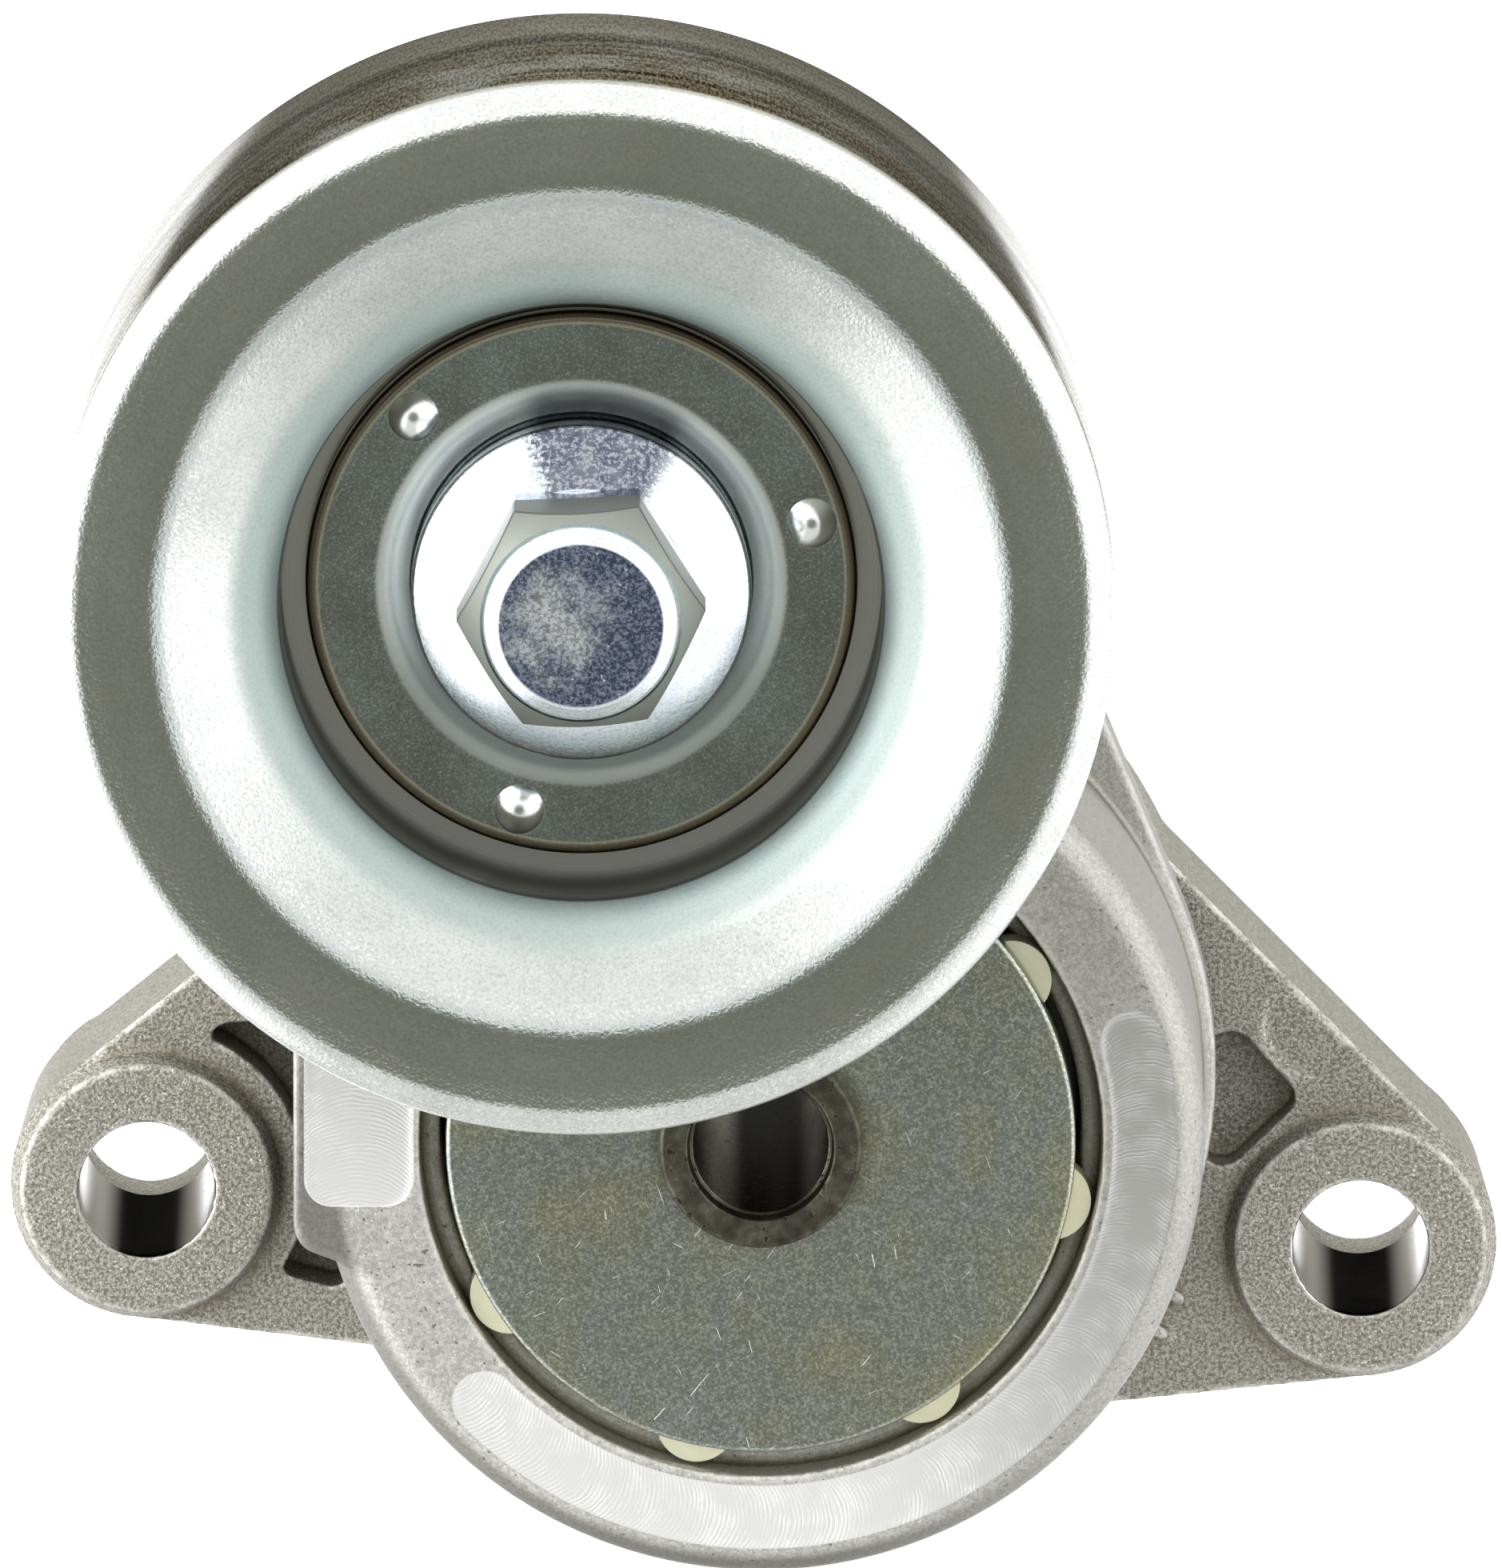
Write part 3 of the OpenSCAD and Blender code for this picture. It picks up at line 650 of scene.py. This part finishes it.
def arm_material():
    """Smoother casting whose drum face and lug carry the arcs of a milling cutter."""
    # Distance from one cutter ridge to the next, for the wide and the fine ridges.
    wide_pitch, fine_pitch = 0.30, 0.13
    g = Graph("arm_casting")
    colour, rough, normal = cast_colour(g, (0.70, 0.69, 0.655), (0.50, 0.49, 0.455), 0.045, 3.6, 0.75)
    radius, angle, height = g.polar(PIVOT)
    x, _, z = g.split(g.mm)
    milled, travel = milled_areas(g, x, z, radius, angle)
    travel = g.plus(travel, g.times(g.noise(0.5, 2.0), 0.5))
    ridges = g.math("SINE", g.times(travel, 2 * math.pi / wide_pitch))
    fine = g.math("SINE", g.times(travel, 2 * math.pi / fine_pitch))
    depth = g.scale_to(g.noise(0.45, 3.0), 0.1, 1.0, 0.38, 0.62)
    ridges = g.times(g.plus(ridges, g.times(fine, 0.35)), depth)
    in_front = g.step(height, front_of("retainer_disc") - 2.2, 0.3)
    milled = g.times(milled, in_front)
    bright = g.mix(g.scale_to(ridges, 0, 1, -1, 1), (0.80, 0.795, 0.77), (0.98, 0.975, 0.96))
    shaded = g.times(g.step(x, 16, 16), 0.40)
    colour = g.mix(shaded, colour, (0.24, 0.235, 0.21))
    bright = g.mix(shaded, bright, (0.38, 0.375, 0.36))
    lit_side = g.math("COSINE", g.plus(angle, math.radians(125)))
    # Painted shade: past the drum face the casting is darkened on its lower-left side.
    lower_left_shade = g.times(g.step(radius, 27.7, 0.9), g.step(lit_side, 0.35, 0.9))
    colour = g.tint(colour, (0.13, 0.125, 0.105), lower_left_shade, 0.7)
    colour = g.mix(milled, colour, bright)
    rough = g.blend(milled, rough, g.scale_to(lit_side, 0.37, 0.52, -0.6, 0.7))
    relief = g.bump(ridges, 0.007, under=g.bump(g.noise(3.0, 2.0), 0.01))
    return g.finish(colour, rough, swap_normal(g, milled, normal, relief))


def shaft_material():
    """Dark blotched steel with a smoother brown bore, with painted shade in a band down its middle."""
    g = Graph("shaft_steel")
    blotch = g.noise(0.9, 4.0)
    radius, _, _ = g.polar(PIVOT)
    colour = g.ramp(blotch, (0.32, (0.045, 0.04, 0.03)), (0.52, (0.085, 0.078, 0.058)),
                    (0.75, (0.17, 0.155, 0.12)))
    bore = g.step(radius, 4.48, -0.05)
    colour = g.mix(bore, colour, g.mix(blotch, (0.12, 0.095, 0.07), (0.22, 0.18, 0.14)))
    x = g.split(g.mm)[0]
    # Painted shade: a near-black band down the middle of the bore, in colour and in specular tint.
    bore_shade = g.times(bore, g.between(x, -1.9, 3.2, 2.4))
    colour = g.mix(bore_shade, colour, (0.02, 0.018, 0.014))
    g.put(g.shader.inputs["Specular Tint"], g.mix(bore_shade, (1, 1, 1), (0.05, 0.05, 0.045)))
    pits = g.step(g.noise(1.6, 3.0), 0.36, -0.08)
    colour = g.mix(g.times(pits, g.minus(1, bore)), colour, (0.04, 0.03, 0.025))
    rough = g.blend(bore, g.scale_to(blotch, 0.52, 0.34), 0.26)
    return g.finish(colour, rough, g.bump(pits, -0.05, under=g.bump(g.noise(3.0, 3.0), 0.02)), metallic=0.9)


def nylon_material():
    """Cream nylon that lets a little light in."""
    g = Graph("nylon")
    cloud = g.noise(0.4, 3.0)
    colour = g.mix(cloud, (0.50, 0.48, 0.33), (0.62, 0.61, 0.45))
    return g.finish(colour, g.scale_to(cloud, 0.32, 0.48), g.bump(g.noise(2.5), 0.02), metallic=0.0,
                    Subsurface_Weight=0.25, Subsurface_Scale=0.001)


def polymer_material(name, pale, dark, roughness):
    """Plain plastic or rubber."""
    g = Graph(name)
    cloud = g.noise(1.2, 4.0)
    colour = g.mix(cloud, dark, pale)
    return g.finish(colour, g.scale_to(cloud, roughness - 0.08, roughness + 0.08), g.bump(g.noise(5.0), 0.02),
                    metallic=0.0)


def ground_steel(name, pale, dark, roughness):
    """Turned or ground steel with fine rings about the pulley's axis."""
    g = Graph(name)
    radius, _, height = g.polar(PULLEY_AXIS)
    rings = g.noise(1.0, 2.0, g.combine(g.times(radius, 9), g.times(height, 9), 0))
    colour = g.mix(rings, dark, pale)
    return g.finish(colour, g.scale_to(rings, roughness - 0.06, roughness + 0.08), g.bump(rings, 0.004))


# ---------------------------------------------------------------- the pieces

def make_pulley(material):
    """Pressed shell: flat belt track, rounded lip, sloping funnel and the tube round the bearing."""
    edge = radius_of("pulley_shell")
    front, rear = front_of("pulley_shell"), rear_of("pulley_shell")
    seat_r = radius_of("bearing_outer_ring")
    seat_front = front_of("bearing_outer_ring")
    wall, corner, throat_r, funnel_r, lip_r, bend_r = 2.3, 2.2, 19.4, 28.2, 3.5, 3.2
    slope = 24
    tube_r = seat_r + wall - 0.1
    inner_r = edge - wall
    lip = (funnel_r, front - lip_r)
    s, c = math.sin(math.radians(slope)), math.cos(math.radians(slope))
    to_r = throat_r + bend_r * (1 - s)
    to_h = lip[1] + lip_r * c - (funnel_r - lip_r * s - to_r) * s / c
    throat = (throat_r + bend_r, to_h - bend_r * c)
    inner_bend = throat[0] - tube_r
    outline = [(seat_r + 0.01, rear + 2), (tube_r, rear + 2)]
    outline += arc(throat, (inner_bend, inner_bend), 180, 90 + slope, 6)
    outline += arc(lip, (lip_r - wall, lip_r - wall), 90 + slope, 90, 6)
    outline += arc((inner_r - 1, front - wall - 1), (1, 1), 90, 0, 6)
    outline += [(inner_r, rear)]
    outline += arc((edge - 0.8, rear + 0.8), (0.8, 0.8), -90, 0, 6)
    outline += arc((edge - corner, front - corner - 0.12), (corner, corner), 0, 88, 18)
    outline += [(edge - corner - 2, front - 0.06)]
    outline += arc(lip, (lip_r, lip_r), 90, 90 + slope, 10)
    outline += arc(throat, (bend_r, bend_r), 90 + slope, 180, 22)
    outline += [(throat_r, seat_front + 0.01), (seat_r + 0.01, seat_front + 0.01)]
    obj = lathe("pulley_shell_pressed", outline, PULLEY_AXIS, 360)
    return place(obj, PULLEY, material, "pulley_plating", "pulley_shell")


def bump_dome(centre, r, rise, base, segments=40, rings=8):
    """Round bump pressed out of sheet, standing on height base."""
    verts = [(centre[0], centre[1], base + rise)]
    faces = []
    for k in range(1, rings + 1):
        t = k / rings
        h = base + rise * math.cos(t * math.pi / 2) ** 0.9
        for i in range(segments):
            a = 2 * math.pi * i / segments
            verts.append((centre[0] + r * t * math.cos(a), centre[1] + r * t * math.sin(a), h))
    for i in range(segments):
        j = (i + 1) % segments
        faces.append([0, 1 + i, 1 + j])
        for k in range(rings - 1):
            row = 1 + k * segments
            faces.append([row + i, row + segments + i, row + segments + j, row + j])
    last = 1 + (rings - 1) * segments
    faces.append([last + i for i in reversed(range(segments))])
    return new_object("bump", verts, faces, 60)


def make_front_shield(material):
    """Dished shield with three bumps round its well."""
    r = radius_of("front_dust_shield")
    rear_floor = front_of("bearing_inner_ring")
    floor = rear_floor + 1
    face = floor + 1.5
    outline = filleted([
        (BOLT_HOLE_R, rear_floor), (11.9, rear_floor, 0.6), (13.3, face - 1, 0.6),
        (r - 1.2, face - 1, 0.4), (r - 0.9, face - 1.7), (r, face - 1.7, 0.2), (r, face, 0.6),
        (12.6, face, 5), (11.1, face - 0.85, 0.2), (10.9, floor, 0.1), (BOLT_HOLE_R, floor)])
    parts = [lathe("front_shield", outline, PULLEY_AXIS, 300, 50)]
    for centre in BUMPS:
        parts.append(bump_dome(centre, BUMP_R, 0.7, face - 0.02))
    obj = join("front_shield_pressed", parts)
    return place(obj, ARM, material, "shield_plating", "front_dust_shield")


def make_rear_shield(material):
    r = radius_of("rear_dust_shield")
    face = rear_of("bearing_inner_ring")
    outline = filleted([
        (BOLT_HOLE_R, face - 1), (12.3, face - 1, 0.5), (13.5, face - 2.1, 0.5), (r, face - 2.1, 0.2),
        (r, face - 1.1, 0.4), (13.9, face - 1.1, 0.5), (12, face, 0.4), (BOLT_HOLE_R, face)])
    obj = lathe("rear_shield_pressed", outline, PULLEY_AXIS, 240)
    return place(obj, ARM, material, "shield_plating", "rear_dust_shield")


def hexagon_head(flat, from_h, to_h, face_r, turn):
    """Hexagon with a 45 degree chamfer round its end and steeper, rounded corners below that."""
    chamfer, corner_slope, steps = 0.85, 60, 60
    verts, faces = [], []
    count = 6 * steps
    for i in range(count):
        a = 2 * math.pi * i / count
        flat_r = flat / 2 / math.cos((a % (math.pi / 3)) - math.pi / 6)
        ring_r = face_r + chamfer
        low = to_h - chamfer - (flat_r - ring_r) * math.tan(math.radians(corner_slope))
        profile = ((flat_r, from_h), (flat_r, low), (ring_r, to_h - chamfer), (face_r, to_h), (0, to_h))
        for radius, h in profile:
            x, z = radius * math.cos(a + turn), radius * math.sin(a + turn)
            verts.append((PULLEY_AXIS[0] + x, PULLEY_AXIS[1] + z, h))
    rows = len(profile)
    for i in range(count):
        j = (i + 1) % count
        for k in range(rows - 1):
            faces.append([i * rows + k, j * rows + k, j * rows + k + 1, i * rows + k + 1])
    return new_object("hexagon", verts, faces, 12)


def make_bolt(material):
    """Flanged hexagon bolt with its shank."""
    across_flats, end_face_r, turn = 14.0, 5.4, math.radians(2.4)
    flange_r = radius_of("pulley_bolt")
    base = front_of("bolt_collar")
    top = front_of("pulley_bolt")
    tip = rear_of("pulley_bolt")
    cone_foot, cone_top = base + 2.0, base + 4.2
    outline = filleted([
        (0, tip), (5, tip, 0.6), (5, base), (flange_r, base, 0.25),
        (flange_r, cone_foot - 0.15, 0.15), (flange_r - 0.2, cone_foot, 0.2),
        (7.2, cone_top - 0.1, 1.0), (6.6, cone_top, 0.2), (0, cone_top)])
    parts = [lathe("bolt_body", outline, PULLEY_AXIS, 240),
             hexagon_head(across_flats, cone_foot + 0.2, top, end_face_r, turn)]
    bevel = parts[1].modifiers.new("bevel", "BEVEL")
    bevel.width = 0.14 * MM
    bevel.segments = 3
    bevel.limit_method = "ANGLE"
    bevel.angle_limit = math.radians(12)
    bpy.context.view_layer.objects.active = parts[1]
    bpy.ops.object.modifier_apply(modifier="bevel")
    obj = join("pulley_bolt_forged", parts)
    return place(obj, ARM, material, "bolt_plating", "pulley_bolt")


def make_collar(material):
    r = radius_of("bolt_collar")
    low, high = rear_of("bolt_collar"), front_of("bolt_collar")
    outline = filleted([(BOLT_HOLE_R, low), (r, low, 0.3), (r, high, 0.3), (BOLT_HOLE_R, high)])
    obj = lathe("bolt_collar_turned", outline, PULLEY_AXIS, 200)
    return place(obj, ARM, material, "bolt_plating", "bolt_collar")


def make_disc(material):
    r = radius_of("retainer_disc")
    low, high = rear_of("retainer_disc"), front_of("retainer_disc")
    hole_r = 5.65
    outline = filleted([(hole_r, low), (r, low, 0.1), (r, high, 0.35), (hole_r, high, 0.1)])
    obj = lathe("retainer_disc_blanked", outline, PIVOT, 300)
    return place(obj, BASE, material, "disc_plating", "retainer_disc")


def make_shaft(material):
    """Hollow shaft whose front end is crimped outward over the disc."""
    bore_r, body_r, neck_r = 4.4, 7.5, 5.6
    top = front_of("pivot_shaft")
    disc_rear, disc_front = rear_of("retainer_disc"), front_of("retainer_disc")
    outline = filleted([
        (bore_r, 0, 0.4), (body_r, 0, 0.4), (body_r, disc_rear - 0.01), (neck_r, disc_rear - 0.01),
        (neck_r, disc_front + 0.01), (6.65, disc_front + 0.01, 0.25), (6.6, top, 0.35),
        (4.75, top, 0.2), (4.65, top - 1.3, 0.1), (bore_r, top - 1.5, 0.1)])
    obj = lathe("pivot_shaft_crimped", outline, PIVOT, 240)
    return place(obj, BASE, material, "shaft_steel", "pivot_shaft")


def make_arm(material):
    """Softened casting, kept crisper near the bush's bore."""
    def weight(p):
        radius = np.hypot(p[:, 0], p[:, 2])
        return np.where(radius < 12.5, 0.15, 0.5)
    obj = casting("tensioner_arm_cast", "tensioner_arm", 0.22, 5, weight)
    return place(obj, ARM, material, "arm_casting", "tensioner_arm")


def make_base(material):
    """Softened casting, kept crisp round the mounting holes."""
    def weight(p):
        near = np.min([np.hypot(p[:, 0] - x, p[:, 2] - z) for x, z in BOSSES], axis=0)
        return np.where(near < BORE_R + 0.7, 0.1, 0.5)
    obj = casting("base_bracket_cast", "base_bracket", 0.2, 8, weight)
    return place(obj, BASE, material, "base_casting", "base_bracket")


def soften(node, width):
    """Small rounded edges on a CAD node that is shown as it is."""
    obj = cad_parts[node]
    bevel = obj.modifiers.new("edges", "BEVEL")
    bevel.width = width * MM
    bevel.segments = 2
    bevel.limit_method = "ANGLE"
    bevel.angle_limit = math.radians(50)


def dress(node, material):
    """Gives a CAD node that is shown as it is its material."""
    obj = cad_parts[node]
    obj.data.materials.clear()
    obj.data.materials.append(material)


# ---------------------------------------------------------------- stage, light and camera

def make_stage():
    """Pale paper under the object."""
    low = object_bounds()[0]
    bpy.ops.mesh.primitive_plane_add(size=60, location=(0, 0, low[2] - 0.0005))
    floor = bpy.context.object
    floor.name = "floor"
    g = Graph("floor_paper")
    cloud = g.noise(0.02, 2.0)
    floor.data.materials.append(g.finish(
        g.mix(cloud, (0.90, 0.90, 0.89), (0.92, 0.92, 0.91)), 0.9, metallic=0.0,
        Emission_Color=(1.0, 1.0, 0.99, 1.0), Emission_Strength=0.7))
    floor.visible_glossy = False


def area_light(name, location, target, size, power):
    light = bpy.data.lights.new(name, "AREA")
    light.shape = "RECTANGLE"
    light.size, light.size_y = size
    light.energy = power
    obj = bpy.data.objects.new(name, light)
    obj.location = location
    obj.rotation_euler = (Vector(target) - Vector(location)).to_track_quat("-Z", "Y").to_euler()
    bpy.context.scene.collection.objects.link(obj)


def make_tent():
    """Soft white light all round, dimmer straight in front and behind."""
    world = bpy.data.worlds.new("tent")
    bpy.context.scene.world = world
    world.use_nodes = True
    g = Nodes(world.node_tree)
    out = g.tree.nodes.new("ShaderNodeOutputWorld")
    tent, paper = g.tree.nodes.new("ShaderNodeBackground"), g.tree.nodes.new("ShaderNodeBackground")
    direction = g.tree.nodes.new("ShaderNodeTexCoord").outputs["Generated"]
    x, y, z = g.split(direction)
    colour = g.mix(g.step(z, -0.10, 0.5), (0.85, 0.86, 0.85), (1.35, 1.36, 1.36))
    colour = g.mix(g.step(x, -0.50, -0.35), colour, (2.0, 2.01, 2.02))
    colour = g.mix(g.step(x, 0.50, 0.35), colour, (1.38, 1.39, 1.40))
    far = g.mix(g.step(z, 0.09, 0.2), (0.30, 0.29, 0.25), (0.74, 0.73, 0.65))
    horizon = g.plus(z, g.times(x, 0.12))
    far = g.mix(g.step(horizon, -0.072, 0.02), (1.9, 1.92, 1.95), far)
    colour = g.mix(g.step(y, 0.80, 0.25), colour, far)
    ahead = g.vector("DOT_PRODUCT", direction, tuple(Vector((0, -1, -0.08)).normalized()))
    colour = g.mix(g.step(ahead, 0.935, 0.07), colour, (0.25, 0.255, 0.215))
    g.put(tent.inputs[0], colour)
    paper.inputs[0].default_value = (0.97, 0.97, 0.96, 1)
    path, mix = g.tree.nodes.new("ShaderNodeLightPath"), g.tree.nodes.new("ShaderNodeMixShader")
    g.put(mix.inputs[0], path.outputs["Is Camera Ray"])
    g.put(mix.inputs[1], tent.outputs[0])
    g.put(mix.inputs[2], paper.outputs[0])
    g.put(out.inputs[0], mix.outputs[0])


def make_lights():
    middle = (0, -0.05, 0.02)
    area_light("left_softbox", (-0.80, -0.40, 0.30), middle, (0.9, 1.0), 7)
    area_light("right_softbox", (0.80, -0.40, 0.20), middle, (0.9, 1.0), 2)
    make_tent()
    bpy.context.scene.view_settings.view_transform = "Standard"


def make_camera():
    """Long lens, 10.4 degrees above the object's axis."""
    distance, elevation = 4.2535, math.radians(10.4)
    data = bpy.data.cameras.new("camera")
    data.lens = 1500
    data.sensor_width = 36
    data.clip_start, data.clip_end = 0.1, 50
    camera = bpy.data.objects.new("camera", data)
    target = Vector((-0.00063, -0.045, 0.0219))
    back = Vector((0, -math.cos(elevation), math.sin(elevation)))
    camera.location = target + distance * back
    camera.rotation_euler = (-back).to_track_quat("-Z", "Y").to_euler()
    bpy.context.scene.collection.objects.link(camera)
    bpy.context.scene.camera = camera


make_camera()
make_pulley(pulley_material())
shield_finish = shield_material()
make_front_shield(shield_finish)
make_rear_shield(shield_finish)
bolt_finish = bolt_material()
make_bolt(bolt_finish)
make_collar(bolt_finish)
make_disc(disc_material())
make_shaft(shaft_material())
make_arm(arm_material())
make_base(base_material())

nylon = nylon_material()
dark_polymer = polymer_material("dark_polymer", (0.07, 0.07, 0.07), (0.035, 0.035, 0.035), 0.5)
bearing_steel = ground_steel("bearing_steel", (0.70, 0.70, 0.69), (0.55, 0.55, 0.54), 0.22)
seal_rubber = polymer_material("seal_rubber", (0.035, 0.035, 0.035), (0.02, 0.02, 0.02), 0.6)
FINISHES = {
    "friction_ring": nylon, "pivot_bush": nylon,
    "thrust_washer": dark_polymer, "spring_seat": dark_polymer,
    "torsion_spring": ground_steel("spring_steel", (0.26, 0.26, 0.27), (0.14, 0.14, 0.15), 0.35),
    "bearing_inner_ring": bearing_steel, "bearing_outer_ring": bearing_steel,
    "bearing_sleeve": bearing_steel, "bearing_balls": bearing_steel,
    "bearing_cage": ground_steel("cage_steel", (0.55, 0.48, 0.32), (0.42, 0.36, 0.24), 0.3),
    "bearing_seal_front": seal_rubber, "bearing_seal_rear": seal_rubber,
}
for node_name, finish in FINISHES.items():
    dress(node_name, finish)
soften("friction_ring", 0.4)

make_stage()
make_lights()
